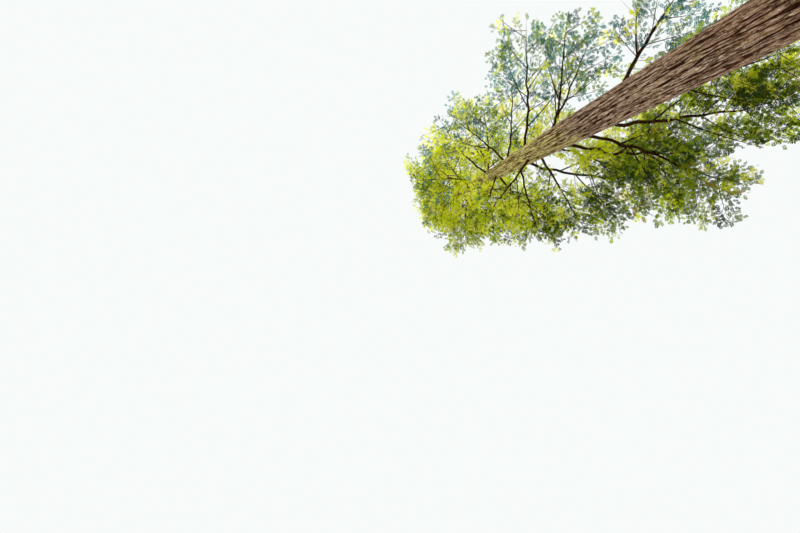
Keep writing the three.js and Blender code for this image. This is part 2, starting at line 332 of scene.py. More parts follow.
def trunk_axis(z):
    z = np.asarray(z, float)
    turn = z / HEIGHT * math.pi
    return np.stack([SWAY * np.sin(turn) ** 2, SWAY * np.sin(turn * 2) * 0.5, z], -1)


def fluting(angle, z):
    """The trunk's buttresses and its faint ribs, as a factor of its radius."""
    lobes = np.cos(BUTTRESSES * angle + 0.8 * np.sin(2 * angle + 0.6))
    uneven = 0.5 * np.sin(3 * angle + 1.1)
    foot = BUTTRESS_DEPTH * np.exp(-z / BUTTRESS_HEIGHT) * (lobes + uneven)
    return 1 + foot + RIB_DEPTH * np.cos(5 * angle + z / HEIGHT * 4)


class Limb:
    """A limb's line from the trunk's axis to its outermost tip, and what grows on it."""

    def __init__(self, node, height, angle, reach, drop, lift, bend, bare, seed, girth=1):
        self.node = node
        self.height = height
        self.reach = reach
        self.drop = drop
        self.lift = lift
        self.bend = bend
        self.bare = bare
        self.seed = seed
        self.girth = girth
        turn = math.radians(angle)
        self.out = np.array([math.cos(turn), math.sin(turn), 0])
        self.side = np.array([-self.out[1], self.out[0], 0])
        self.axis = trunk_axis(height)
        self.inner = float(trunk_radius(height)) / reach
        faced = [math.cos(turn - math.radians(side)) for side in OPEN_ANGLES]
        self.openness = max(*faced, 0) ** OPEN_POWER
        self.openness *= between(height, *OPEN_HEIGHTS)
        self.shade = max(math.cos(turn - math.radians(SHADED_ANGLE)), 0) if bare else 0

    def at(self, share):
        s = np.asarray(share, float)[..., None]
        bow = self.bend * self.reach * np.sin(math.pi * s) * (1 - 0.5 * s)
        p = self.axis + self.out * self.reach * s + self.side * bow
        rise = self.lift * self.reach
        p[..., 2] = (self.height + rise * s - (rise + self.drop) * s * s)[..., 0]
        return p

    def radius(self, share):
        share = np.asarray(share, float)
        root = BOUGH_RADIUS * self.girth * (self.reach / LONGEST_REACH) ** ROOT_POWER
        away = np.maximum(self.reach * share - trunk_radius(self.height), 0)
        thinned = LIMB_TAPER * share ** (WOOD_FULLNESS * self.girth**2)
        return root * (1 - thinned) * (1 + COLLAR * np.exp(-away / COLLAR_LENGTH))


def make_limbs():
    """The boughs from the lowest up, and then the fans."""
    limbs = []
    for i, (height, angle, reach, drop, bend, *girth) in enumerate(BOUGHS):
        bare = BARE_SHARE + BARE_SPREAD * either(i, 1)
        name = f"{i + 1:02d}"
        limbs.append(Limb(name, height, angle, reach, drop, BOUGH_LIFT, bend, bare, i, *girth))
    for i in range(TOP_FANS):
        share = i / (TOP_FANS - 1)
        reach = mix(TIP_REACH, TOP_REACH, (1 - share) ** TOP_FALL)
        lift = mix(TOP_LIFT, TIP_LIFT, share**2)
        height = mix(TOP_START, TOP_END, share**TOP_CROWDING)
        bend = TOP_BEND * (-1 if i % 2 else 1)
        angle = TOP_FIRST_ANGLE + GOLDEN_ANGLE * i
        drop = -reach * (lift - TOP_SAG)
        seed = len(BOUGHS) + i
        limbs.append(Limb(f"{i + 1:02d}", height, angle, reach, drop, lift, bend, 0, seed))
    return limbs


LIMBS = make_limbs()
SPINES = np.stack([limb.at(np.linspace(0, 1, SPINE_PIECES + 1)) for limb in LIMBS])


def distances(points):
    """From each point (n, 3) to each limb's line: (n, limbs)."""
    start, step = SPINES[:, :-1], SPINES[:, 1:] - SPINES[:, :-1]
    length = (step**2).sum(-1)
    at_once = 3000
    found = []
    for part in np.array_split(points, max(1, len(points) // at_once)):
        away = part[:, None, None] - start
        t = np.clip((away * step).sum(-1) / length, 0, 1)
        found.append(np.linalg.norm(away - t[..., None] * step, axis=-1).min(-1))
    return np.concatenate(found)


def in_own_space(index, points):
    """Whether each point (n, 3) is in the space of its limb, index being one limb or (n,)."""
    points = np.atleast_2d(points)
    d = distances(points)
    rows = np.arange(len(points))
    own = d[rows, index].copy()
    d[rows, index] = np.inf
    free = d.min(1) > own + SPACE_MARGIN
    from_trunk = np.linalg.norm(points[:, :2] - trunk_axis(points[:, 2])[:, :2], axis=1)
    clear = from_trunk > trunk_radius(points[:, 2]) * (1 + RIB_DEPTH) + LIMB_MARGIN
    return free & clear & (points[:, 2] < HEIGHT)


def inside_box(points):
    """Whether each point keeps to the solids' box, but for a small margin."""
    low = np.array(CAD_LOW) - REACH_MARGIN
    high = np.array(CAD_HIGH) + REACH_MARGIN
    high[2] = HEIGHT
    return ((points > low) & (points < high)).all(-1)


# Meshes


def new_object(name, data):
    made = bpy.data.objects.new(name, data)
    bpy.context.scene.collection.objects.link(made)
    return made


def make_piece(name, verts, faces, materials, index=None, smooth=False):
    """An object from vertices (n, 3) and a list of face arrays (m, corners)."""
    mesh = bpy.data.meshes.new(name)
    corners = np.concatenate([f.reshape(-1) for f in faces]).astype(np.int32)
    sizes = np.concatenate([np.full(len(f), f.shape[1]) for f in faces]).astype(np.int32)
    starts = np.concatenate([[0], np.cumsum(sizes)[:-1]]).astype(np.int32)
    mesh.vertices.add(len(verts))
    mesh.vertices.foreach_set("co", np.asarray(verts, np.float32).reshape(-1))
    mesh.loops.add(len(corners))
    mesh.loops.foreach_set("vertex_index", corners)
    mesh.polygons.add(len(sizes))
    mesh.polygons.foreach_set("loop_start", starts)
    mesh.polygons.foreach_set("loop_total", sizes)
    for material in materials:
        mesh.materials.append(material)
    if index is not None:
        mesh.polygons.foreach_set("material_index", index.astype(np.int32))
    mesh.polygons.foreach_set("use_smooth", np.full(len(sizes), smooth))
    mesh.update(calc_edges=True)
    piece = new_object(name, mesh)
    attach(piece, "root")
    return piece


def tube_faces(count, rings, sides):
    """The faces of closed tubes: their quads, and both of their ends."""
    base = (np.arange(count) * rings * sides)[:, None]
    i = base[..., None] + np.arange(rings - 1)[:, None] * sides
    j = np.arange(sides)
    k = (j + 1) % sides
    quads = np.stack([i + j, i + sides + j, i + sides + k, i + k], -1)
    return [quads.reshape(-1, 4), base + j, base + (rings - 1) * sides + j[::-1]]


def tubes(lines, radii, sides):
    """Closed tapering tubes along lines (b, n, 3) with radii (b, n). Returns vertices and faces."""
    b, n, _ = lines.shape
    ahead = unit(np.gradient(lines, axis=1))
    across = np.cross(ahead, [0.0, 0.0, 1.0])
    upright = np.linalg.norm(across, axis=-1) < 0.05
    across[upright] = [1.0, 0.0, 0.0]
    across = unit(across)
    above = np.cross(across, ahead)
    turn = (np.arange(sides) * 2 * math.pi / sides)[:, None]
    ring = across[:, :, None] * np.cos(turn) + above[:, :, None] * np.sin(turn)
    verts = lines[:, :, None] + ring * radii[:, :, None, None]
    return verts.reshape(-1, 3), tube_faces(b, n, sides)


def cones(base, way, length, radius):
    """Closed three-sided cones from base (n, 3) along way, for the finer twigs."""
    across = unit(np.cross(way, [0.0, 0.0, 1.0]))
    above = np.cross(across, way)
    turn = (np.arange(3) * 2 * math.pi / 3)[:, None]
    ring = across[:, None] * np.cos(turn) + above[:, None] * np.sin(turn)
    foot = base[:, None] + ring * radius[:, None, None]
    verts = np.concatenate([foot, (base + way * length[:, None])[:, None]], 1)
    corner = np.arange(len(base))[:, None] * 4
    faces = np.stack([corner + f for f in ([0, 3, 1], [1, 3, 2], [2, 3, 0], [0, 1, 2])], 1)
    return verts.reshape(-1, 3), [faces.reshape(-1, 3)]


def joined(groups):
    """Several (vertices, faces) as one."""
    verts, faces, offset = [], [], 0
    for v, fs in groups:
        verts.append(v)
        faces += [f + offset for f in fs]
        offset += len(v)
    return np.concatenate(verts), faces


# Shader nodes


def new_material(name):
    material = bpy.data.materials.new(name)
    material.use_nodes = True
    tree = material.node_tree
    tree.nodes.clear()
    output = tree.nodes.new("ShaderNodeOutputMaterial")
    return material, tree, output


def feed(tree, value, socket):
    """Gives an input its number or colour, or links another node's output to it."""
    if isinstance(value, (float, int)):
        socket.default_value = value
    elif isinstance(value, tuple):
        socket.default_value = (*value, 1)
    else:
        tree.links.new(value, socket)


def ramp(tree, fac, stops):
    """A colour ramp's output, from stops of place and colour."""
    node = tree.nodes.new("ShaderNodeValToRGB")
    while len(node.color_ramp.elements) < len(stops):
        node.color_ramp.elements.new(0.5)
    for element, (place, colour) in zip(node.color_ramp.elements, stops):
        element.position = place
        element.color = (*colour, 1)
    feed(tree, fac, node.inputs["Fac"])
    return node.outputs["Color"]


def mask(tree, fac, stops):
    """The same from stops of place and strength, for blending."""
    return ramp(tree, fac, [(place, (strength,) * 3) for place, strength in stops])


def stretched_noise(tree, coordinates, scale, detail, rough=0.6):
    """A noise texture's output, with as many features per metre as scale says for each axis."""
    mapping = tree.nodes.new("ShaderNodeMapping")
    mapping.inputs["Scale"].default_value = scale
    feed(tree, coordinates, mapping.inputs["Vector"])
    node = tree.nodes.new("ShaderNodeTexNoise")
    node.inputs["Scale"].default_value = 1
    node.inputs["Detail"].default_value = detail
    node.inputs["Roughness"].default_value = rough
    feed(tree, mapping.outputs["Vector"], node.inputs["Vector"])
    return node.outputs["Fac"]


def blend_colours(tree, fac, a, b, mode="MIX"):
    """A Mix node's output, from sockets, numbers or colours."""
    node = tree.nodes.new("ShaderNodeMix")
    node.data_type = "RGBA"
    node.blend_type = mode
    for name, value in (("Factor", fac), ("A", a), ("B", b)):
        feed(tree, value, [s for s in node.inputs if s.name == name and s.enabled][0])
    return [s for s in node.outputs if s.enabled][0]


def calculated(tree, operation, a, b):
    """A Math node's output, from sockets or numbers."""
    node = tree.nodes.new("ShaderNodeMath")
    node.operation = operation
    for socket, value in zip(node.inputs, (a, b)):
        feed(tree, value, socket)
    return node.outputs["Value"]


def ranged(tree, value, span, result):
    """The value, taken from one span of numbers to another and kept within it."""
    node = tree.nodes.new("ShaderNodeMapRange")
    for name, number in zip(("From Min", "From Max", "To Min", "To Max"), (*span, *result)):
        node.inputs[name].default_value = number
    feed(tree, value, node.inputs["Value"])
    return node.outputs["Result"]


def principled(tree, colour, roughness, gloss=0.5):
    """A shader in one colour, or in that of a socket."""
    shader = tree.nodes.new("ShaderNodeBsdfPrincipled")
    feed(tree, colour, shader.inputs["Base Color"])
    shader.inputs["Roughness"].default_value = roughness
    shader.inputs["Specular IOR Level"].default_value = gloss
    return shader


def bark_shader(tree, output, colour, grain, strength, distance, roughness, gloss):
    """A dull shader in a socket's colour, with a bump from its grain."""
    bump = tree.nodes.new("ShaderNodeBump")
    bump.inputs["Strength"].default_value = strength
    bump.inputs["Distance"].default_value = distance
    feed(tree, grain, bump.inputs["Height"])
    shader = principled(tree, colour, roughness, gloss)
    feed(tree, bump.outputs["Normal"], shader.inputs["Normal"])
    feed(tree, shader.outputs[0], output.inputs["Surface"])


# Materials


def bark_run(z):
    """Height along the trunk as its bark counts it: the furrows and fibres lengthen upwards."""
    return BARK_RUN * np.log(1 + z / BARK_STRETCH)


def bark_place(tree):
    """The place on the trunk as its bark counts it, and the real height."""
    split = tree.nodes.new("ShaderNodeSeparateXYZ")
    feed(tree, tree.nodes.new("ShaderNodeTexCoord").outputs["Object"], split.inputs[0])
    share = calculated(tree, "DIVIDE", split.outputs["Z"], BARK_STRETCH)
    rise = calculated(tree, "LOGARITHM", calculated(tree, "ADD", share, 1.0), math.e)
    place = tree.nodes.new("ShaderNodeCombineXYZ")
    feed(tree, split.outputs["X"], place.inputs["X"])
    feed(tree, split.outputs["Y"], place.inputs["Y"])
    feed(tree, calculated(tree, "MULTIPLY", rise, BARK_RUN), place.inputs["Z"])
    return place.outputs["Vector"], split.outputs["Z"]


def trunk_bark():
    """Grey-tan fibrous ridges with dark red-brown furrows between them. Light and shade are painted
    into the colour: a yellow-green glow of light bounced from the foliage, in patches that grow
    upwards; painted shade that makes the bark darker near the ground; and painted shade,
    near-black, in the depths of the furrows and cracks."""
    material, tree, output = new_material("redwood_trunk_bark")
    place, height = bark_place(tree)
    attribute = tree.nodes.new("ShaderNodeAttribute")
    attribute.attribute_name = "relief"
    relief = attribute.outputs["Fac"]
    fibre = stretched_noise(tree, place, (42, 42, 7), 6, 0.75)
    crack = stretched_noise(tree, place, (11, 11, 1.5), 5, 0.62)
    speckle = stretched_noise(tree, place, (95, 95, 34), 2)
    patches = stretched_noise(tree, place, (2.2, 2.2, 0.35), 3)
    places = (0.36, 0.45, 0.54, 0.66)
    greys = ((0.1, 0.048, 0.022), (0.31, 0.19, 0.11), (0.5, 0.36, 0.245), (0.9, 0.76, 0.63))
    # Ridge colours under painted light, a yellow-green glow bounced from the foliage
    bounce_lit_colours = ((0.24, 0.17, 0.025), (0.62, 0.5, 0.13), (0.92, 0.79, 0.28), (1.0, 0.95, 0.52))
    ridge = ramp(tree, fibre, list(zip(places, greys)))
    bounce_lit = ramp(tree, fibre, list(zip(places, bounce_lit_colours)))
    # Painted light: that glow, in patches, more of it higher up the trunk
    upwards = calculated(tree, "ADD", patches, ranged(tree, height, (11, 23), (0, 0.5)))
    bounce_light = mask(tree, upwards, [(0.64, 0), (0.86, 0.9)])
    plates = blend_colours(tree, bounce_light, ridge, bounce_lit)
    grain = ramp(tree, speckle, [(0.36, (0.62, 0.58, 0.54)), (0.64, (1.3, 1.3, 1.3))])
    plates = blend_colours(tree, 1.0, plates, grain, "MULTIPLY")
    # Painted shade: the bark darker and redder near the ground, fully below 5 m and fading out by
    # 10 m
    low = ranged(tree, height, (5, 10), (0.9, 0))
    plates = blend_colours(tree, low, plates, (0.62, 0.5, 0.46), "MULTIPLY")
    edge = mask(tree, relief, [(0.57, 0.85), (0.86, 0)])
    body = blend_colours(tree, edge, plates, (0.16, 0.042, 0.012))
    # Painted shade: near-black in the depths of the furrows and in the thin cracks
    lines = mask(tree, crack, [(0.455, 0), (0.485, 0.95), (0.5, 0.95), (0.52, 0)])
    depth = mask(tree, relief, [(0.3, 1), (0.53, 0.97), (0.65, 0)])
    furrow_shade_mask = blend_colours(tree, 1.0, depth, lines, "LIGHTEN")
    shadow = ramp(tree, fibre, [(0.42, (0.012, 0.004, 0.002)), (0.64, (0.07, 0.024, 0.009))])
    # Where that painted light lies, the painted furrow shade is lighter and olive
    shadow = blend_colours(tree, bounce_light, shadow, (0.09, 0.06, 0.012))
    colour = blend_colours(tree, furrow_shade_mask, body, shadow)
    bark_shader(tree, output, colour, fibre, 0.8, 0.012, 0.97, 0.05)
    return material


def limb_bark(name, colours):
    """Flaking bark in three colours, from the dark of its cracks up."""
    material, tree, output = new_material(name)
    place = tree.nodes.new("ShaderNodeTexCoord").outputs["Object"]
    flakes = stretched_noise(tree, place, (14, 14, 14), 5)
    colour = ramp(tree, flakes, list(zip((0.34, 0.52, 0.7), colours)))
    bark_shader(tree, output, colour, flakes, 0.6, 0.01, 0.9, 0.06)
    return material


def plain(name, colour, roughness):
    material, tree, output = new_material(name)
    shader = principled(tree, colour, roughness)
    feed(tree, shader.outputs[0], output.inputs["Surface"])
    return material


def needle_material(tint, colour, through):
    """Needles let light through, which shows in a yellower green than their own."""
    material, tree, output = new_material(f"needles_{tint}")
    shader = principled(tree, colour, 0.6, 0.12)
    thin = tree.nodes.new("ShaderNodeBsdfTranslucent")
    thin.inputs["Color"].default_value = (*through, 1)
    both = tree.nodes.new("ShaderNodeMixShader")
    both.inputs["Fac"].default_value = 0.5
    feed(tree, shader.outputs[0], both.inputs[1])
    feed(tree, thin.outputs[0], both.inputs[2])
    feed(tree, both.outputs[0], output.inputs["Surface"])
    return material


NEEDLES = [needle_material(*tint) for tint in TINTS]
SLIMNESS = np.array([SLIM_SHARE if tint in SLIM_TINTS else 1.0 for tint, _, _ in TINTS])
BARK = trunk_bark()
BOUGH_BARK = limb_bark(
    "redwood_bough_bark", ((0.01, 0.004, 0.001), (0.034, 0.013, 0.004), (0.13, 0.055, 0.018))
)
UPPER_BARK = limb_bark(
    "redwood_upper_bark", ((0.035, 0.016, 0.006), (0.1, 0.045, 0.016), (0.28, 0.14, 0.045))
)
TWIG_BARK = plain("redwood_twig_bark", (0.055, 0.028, 0.012), 0.8)
UPPER_TWIG_BARK = plain("redwood_upper_twig_bark", (0.2, 0.1, 0.028), 0.8)


# The trunk


def bark_relief(angle, z):
    """How far the bark stands out at each angle and height, from 0 in a furrow to about 1."""
    run = bark_run(z)

    def field(around, along, seed):
        """Smooth noise over the bark: the larger its numbers, the finer it is that way."""
        places = [np.cos(angle) * around, np.sin(angle) * around, run * along]
        return noise(np.stack(places, 1), seed)

    def off_middle(lane):
        """How far each place is from the nearest furrow, from 0 to 1 on the ridge between two."""
        return np.abs(lane - np.round(lane)) * 2

    # Furrows that wander and join, calmer and narrower at the foot
    calm = 1 - 0.6 * np.exp(-z / 4)
    wander = 0.75 * field(3.6, 1.1, 12) + 0.3 * field(9, 4.5, 17)
    wander = 1.1 * field(1.7, 0.45, 11) + calm * wander
    away = off_middle(FURROWS * angle / (2 * math.pi) + wander + 0.1 * run)
    slender = np.clip(STEM_RADIUS / trunk_radius(z), 0, 1) ** 0.7
    wide = (0.21 + 0.1 * field(3, 0.8, 13)) * slender
    furrow = np.exp(-((away / np.maximum(wide, 0.12)) ** 2))
    deep = np.clip(0.85 + 0.5 * field(4, 0.7, 14), 0.35 + 0.3 * np.exp(-z / 3), 1)

    # Finer ones that come and go on the ridges, shallower at the foot
    away = off_middle(FINER_FURROWS * angle / (2 * math.pi) + 1.3 * field(4, 1.6, 15) - 0.2 * run)
    shallow = np.clip(0.2 + 1.6 * field(5, 1.2, 16), 0, 0.8 - 0.45 * np.exp(-z / 4))
    finer = np.exp(-((away / FINER_WIDTH) ** 2)) * shallow

    rough = 0.26 * field(14, 7, 3)
    return np.clip(1 - deep * furrow - finer + rough, 0, 1.15)


def make_trunk():
    """The trunk with its bark's ridges and furrows, closed by its flat cut and its tip."""
    t = np.linspace(0, 1, TRUNK_RINGS)
    heights = HEIGHT * (0.55 * t + 0.45 * t * t)
    angles = np.arange(TRUNK_SIDES) * 2 * math.pi / TRUNK_SIDES
    z, angle = (a.reshape(-1) for a in np.meshgrid(heights, angles, indexing="ij"))
    relief = bark_relief(angle, z)
    slim = np.clip(trunk_radius(z) / STEM_RADIUS, 0.08, 1)
    foot = 1 + FOOT_FURROWS * np.exp(-z / 1.5)
    bark = FURROW_DEPTH * slim * foot * (relief - BARK_LEVEL)
    out = trunk_radius(z) * fluting(angle, z) + bark
    verts = trunk_axis(z)
    verts[:, 0] += np.cos(angle) * out
    verts[:, 1] += np.sin(angle) * out
    # The trunk's rings turn the other way than a limb's
    quads, bottom, top = tube_faces(1, TRUNK_RINGS, TRUNK_SIDES)
    faces = [quads[:, [0, 3, 2, 1]], bottom[:, ::-1], top[:, ::-1]]
    trunk = make_piece("trunk_bark", verts, faces, [BARK], smooth=True)
    attribute = trunk.data.attributes.new("relief", "FLOAT", "POINT")
    attribute.data.foreach_set("value", relief.astype(np.float32))
    rounded = np.ones(len(trunk.data.polygons), bool)
    rounded[-2:] = False
    trunk.data.polygons.foreach_set("use_smooth", rounded)
    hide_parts("trunk")


# Where limbs, forks and sprays run


def limb_line(limb, n, start, end=1.0):
    """Points along a limb, with the small crooks that a real one has, fewer on a stout one."""
    share = np.linspace(start, end, n)
    p = limb.at(share)
    away = np.clip((share - start) * 4, 0, 1) * np.clip((1 - share) * 5, 0, 1)
    crook = CROOK * limb.reach * away / limb.girth**3
    wave = np.stack([share * 9 + limb.seed * 3.7, share * 0, share * 0 + limb.seed], 1)
    p = p + limb.side * (crook * noise(wave, 21))[:, None]
    p[:, 2] += crook * noise(wave, 22)
    return share, p


class Line:
    """A smooth line through points, read by the share of its length."""

    def __init__(self, points):
        self.points = points
        steps = np.linalg.norm(np.diff(points, axis=0), axis=1)
        self.run = np.concatenate([[0], np.cumsum(steps)])
        self.length = self.run[-1]

    def at(self, u):
        places = [np.interp(u * self.length, self.run, self.points[:, k]) for k in range(3)]
        return np.stack(places, -1)

    def along(self, u):
        return unit(self.at(min(u + 0.03, 1)) - self.at(max(u - 0.03, 0)))


def spray_way(along, side, swing, tilt):
    """The way a spray sets out from its stem, by the rule of the solids."""
    level = unit(np.cross(along, [0, 0, 1.0]))
    swing, tilt = math.radians(swing), math.radians(tilt)
    ahead = along * math.cos(swing) + level * side * math.sin(swing) * math.cos(tilt)
    ahead[2] += math.sin(swing) * math.sin(tilt)
    return unit(ahead)


def spray_points(base, ahead, length, sag, count=SPRAY_POINTS):
    t = np.linspace(0, 1, count)
    points = base + ahead * (length * t)[:, None]
    points[:, 2] -= sag * length * t * t
    return points


def rolled(ahead, angle):
    """The way a spray's face looks: upwards, but rolled about the spray."""
    turn = Matrix.Rotation(math.radians(angle), 3, Vector(ahead))
    return np.array(turn @ Vector((0, 0, 1)))


def fork_line(index, k, count):
    """A side limb, which leaves its limb at a narrow angle and bends back along it."""
    limb = LIMBS[index]
    seed = limb.seed
    first = max(limb.bare * 0.8, limb.inner + 0.1)
    start = mix(first, FORK_END, (k + 0.6 * chance(seed, 200 + k)) / count)
    share, line = limb_line(limb, LIMB_POINTS, 0.0)
    base = np.array([np.interp(start, share, line[:, i]) for i in range(3)])
    along = unit(limb.at(start + 0.04) - limb.at(start - 0.04))
    side = 1 if (k + seed) % 2 else -1
    swing = FORK_ANGLE + FORK_SPREAD * chance(seed, 210 + k)
    ahead = spray_way(along, side, swing, FORK_TILT * either(seed, 220 + k))
    t = np.linspace(0, 1, FORK_POINTS)
    for scale in SIZES:
        length = limb.reach * (1 - start) * FORK_LENGTH * scale
        bend = along * (FORK_BEND * length * t * t)[:, None]
        points = spray_points(base, ahead, length, FORK_SAG, FORK_POINTS) + bend
        if in_own_space(index, points[3:]).all() and inside_box(points).all():
            radius = float(limb.radius(start)) * FORK_RADIUS * (1 - FORK_TAPER * t**1.3)
            return Line(points), radius
    return None


def forks_of(index):
    """The line and radii of each side limb that has room."""
    count = max(1, round(LIMBS[index].reach / FORK_REACH))
    return [fork for k in range(count) if (fork := fork_line(index, k, count))]


class Stem:
    """The part of a limb that carries sprays: its line, the share where the first one may leave,
    and their length."""

    def __init__(self, limb):
        self.limb = limb
        self.on_trunk = limb.bare == 0
        start = limb.inner * 0.6 if self.on_trunk else limb.bare - 0.01
        bare_to = limb.inner + 0.1 if self.on_trunk else start
        share, points = limb_line(limb, LIMB_POINTS, 0.0)
        self.line = Line(points[share >= start])
        self.first = max(TWIG_START, (bare_to - start) / (1 - start))
        self.spray = max(SPRAY_REACH * self.line.length, SPRAY_LEAST)


# Each of these gives sprays as base, way, roll, length and thickness


def solid_sprays(stem):
    """The sprays that the solids have too."""
    seed = stem.limb.seed
    for i in range(TWIGS):
        u = mix(stem.first, TWIG_END, i / (TWIGS - 1))
        side = 1 if (i + seed) % 2 else -1
        most = TWIG_RISE if (i // 2) % 2 == 0 else -TWIG_FALL
        tilt = most * mix(0.25, 1, chance(seed, 20 + i))
        swing = TWIG_ANGLE + TWIG_SPREAD * either(seed, 10 + i)
        ahead = spray_way(stem.line.along(u), side, swing, tilt)
        fullness = mix(0.62, 1, math.sin(math.pi * mix(0.15, 1, u)))
        roll = SPRAY_ROLL * either(seed, 30 + i)
        yield stem.line.at(u), ahead, roll, stem.spray * fullness, 1.0


def extra_sprays(stem):
    """Finer sprays between those, fewer on the open sides and more on the shaded side."""
    seed = stem.limb.seed
    more = TOP_SPRAYS if stem.on_trunk else round(SHADED_SPRAYS * stem.limb.shade)
    count = EXTRA_SPRAYS + more
    for i in range(count):
        if chance(seed, 400 + i) < OPEN_SHARE * stem.limb.openness:
            continue
        u = mix(0.4 if stem.on_trunk else stem.first * 0.6, 0.96, (i + 0.5) / count)
        side = -1 if (i + seed) % 2 else 1
        tilt = mix(-EXTRA_FALL, EXTRA_RISE, chance(seed, 90 + i))
        swing = TWIG_ANGLE + EXTRA_SPREAD * either(seed, 70 + i)
        ahead = spray_way(stem.line.along(u), side, swing, tilt)
        size = EXTRA_SIZE * mix(0.7, 1.2, chance(seed, 160 + i))
        roll = SPRAY_ROLL * either(seed, 130 + i)
        yield stem.line.at(u), ahead, roll, stem.spray * size, 0.7


def hanging_sprays(stem):
    """Short ones that hang below the stem, fewer on the shaded side."""
    seed = stem.limb.seed
    count = HANGING_SPRAYS - (1 if stem.on_trunk else round(3 * stem.limb.shade))
    for i in range(count):
        first = 0.45 if stem.on_trunk else stem.first
        u = mix(first, 0.92, (i + chance(seed, 440 + i)) / count)
        ahead = unit(stem.line.along(u) * mix(0.2, 0.6, chance(seed, 450 + i)) + [0, 0, -1.0])
        roll = 90 + 35 * either(seed, 460 + i)
        size = mix(0.4, 0.65, chance(seed, 470 + i))
        yield stem.line.at(u), ahead, roll, stem.spray * size, 0.5


def fork_sprays(stem, k, line):
    """Those of the stem's side limb k, along its line."""
    seed = stem.limb.seed
    for i in range(FORK_SPRAYS):
        own = 8 * k + i
        if chance(seed, 420 + own) < OPEN_SHARE * stem.limb.openness:
            continue
        u = mix(0.3, 0.95, i / (FORK_SPRAYS - 1))
        side = -1 if (i + k) % 2 else 1
        tilt = mix(-EXTRA_FALL, EXTRA_RISE, chance(seed, 240 + own))
        swing = TWIG_ANGLE + FORK_SPRAY_SPREAD * either(seed, 260 + own)
        ahead = spray_way(line.along(u), side, swing, tilt)
        roll = SPRAY_ROLL * either(seed, 280 + own)
        size = stem.spray * FORK_SPRAY_SIZE * mix(0.7, 1.1, chance(seed, 300 + own))
        yield line.at(u), ahead, roll, size, 0.6


def fitted(index, wanted):
    """Each spray that is wanted, at the largest size that keeps to its limb's space, if any does:
    its points, the way its face looks, its length and its thickness."""
    found = []
    for base, ahead, roll, length, thickness in wanted:
        up = rolled(ahead, roll)
        across = unit(np.cross(ahead, up))
        for scale in SIZES:
            size = length * scale
            points = spray_points(base, ahead, size, SPRAY_SAG)
            wide = across * HALF_SPRAY * size
            tests = np.concatenate([points[2:], points[3:5] + wide, points[3:5] - wide])
            if in_own_space(index, tests).all() and inside_box(points).all():
                found.append((points, up, size, thickness))
                break
    return found


def end_spray(line, start, size):
    """The spray that a line ends in. It has no wood of its own."""
    return line.at(np.linspace(start, 1, SPRAY_POINTS)), np.array([0, 0, 1.0]), size, 0.0


def sprays_of(index):
    """Every spray of a limb: its points, the way its face looks, its length and its thickness."""
    stem = Stem(LIMBS[index])
    found = fitted(index, [*solid_sprays(stem), *extra_sprays(stem), *hanging_sprays(stem)])
    for k, (line, _) in enumerate(forks_of(index)):
        found += fitted(index, fork_sprays(stem, k, line))
        found.append(end_spray(line, 0.62, line.length * 0.4))
    start = 1 - stem.spray / stem.line.length * END_SPRAY
    found.append(end_spray(stem.line, start, stem.spray * END_SPRAY))
    return found


def tuft_places():
    """Number, height, compass angle and length of each tuft: all round the upper trunk, and then on
    the shaded side of the trunk below it."""
    for i in range(TUFTS):
        z = mix(TUFTS_FROM, TUFTS_TO, (i / (TUFTS - 1)) ** TUFT_CROWDING)
        angle = GOLDEN_ANGLE * i + TUFT_FIRST_ANGLE
        yield i, z, angle, TUFT_LENGTH * mix(1, TIP_TUFT, i / TUFTS)
    for i in range(TUFTS, TUFTS + LOW_TUFTS):
        z = mix(LOW_TUFTS_FROM, TUFTS_FROM, (i - TUFTS) / LOW_TUFTS)
        yield i, z, SHADED_ANGLE + LOW_TUFT_SPREAD * either(i, 530), LOW_TUFT_LENGTH


def tufts_of(indices):
    """Sprays that leave the trunk itself, each in the space of one of the limbs."""
    found = []
    for i, z, angle, length in tuft_places():
        turn = math.radians(angle)
        out = np.array([math.cos(turn), math.sin(turn), mix(-0.3, 0.5, chance(i, 500))])
        ahead = unit(out)
        base = trunk_axis(z) + out * [1, 1, 0] * float(trunk_radius(z)) * 0.9
        size = length * mix(0.6, 1.2, chance(i, 510))
        points = spray_points(base, ahead, size, TUFT_SAG)
        index = int(np.argmin(distances(points[4:5])[0]))
        if index in indices and in_own_space(index, points[3:]).all() and inside_box(points).all():
            up = rolled(ahead, TUFT_ROLL * either(i, 520))
            found.append((index, points, up, size, 0.5))
    return found


# Finer twigs and needles


def coarseness(z):
    return mix(1, COARSE, between(z, *COARSE_HEIGHTS))


def swung(along, across, swing, side):
    """Directions at an angle from along, to the side of across or to the other."""
    return along * np.cos(swing)[:, None] + across * (np.sin(swing) * side)[:, None]


def tint_weights(point):
    """How likely each tint is for a spray there: lime high up and near the trunk, painted light for
    the glow of sunlit needles; deeper greens on the side at -X and behind, painted shade; and
    blue-greens on the side that stands against open sky."""
    x, y, z = point
    high = between(z, 18, 26)
    away = np.linalg.norm(point[:2])
    near = np.clip(2.1 - away / 1.4, 0, 1) * between(z, 14, 18)
    outer = np.clip(away / 2 - 0.6, 0, 1)
    open_side = np.clip((x + 0.4) / 2.2, 0, 1) * (1 - high * (0.8 - 0.6 * outer))
    shade = np.clip((0.6 - x + 0.35 * y) / 3, 0, 1) * (1 - 0.8 * high)
    lime = 0.3 + 1.9 * high + 3.8 * near * (1 - 0.5 * open_side) + 0.6 * shade
    weights = {
        "lime": lime,
        "yellow": 0.6 * lime,
        "leaf": 1.0 + 0.5 * shade + 0.6 * high,
        "green": 0.4 + 1.5 * shade + 0.45 * high,
        "deep": 0.08 + 2.1 * shade + 0.2 * high,
        "sage": 0.1 + 1.2 * open_side + 0.15 * shade,
        "teal": 0.02 + 2.6 * open_side,
        "pine": 1.8 * open_side,
        "bronze": (0.03 + 0.1 * shade) * (1 - open_side),
    }
    return np.array([weights[tint] for tint, _, _ in TINTS])


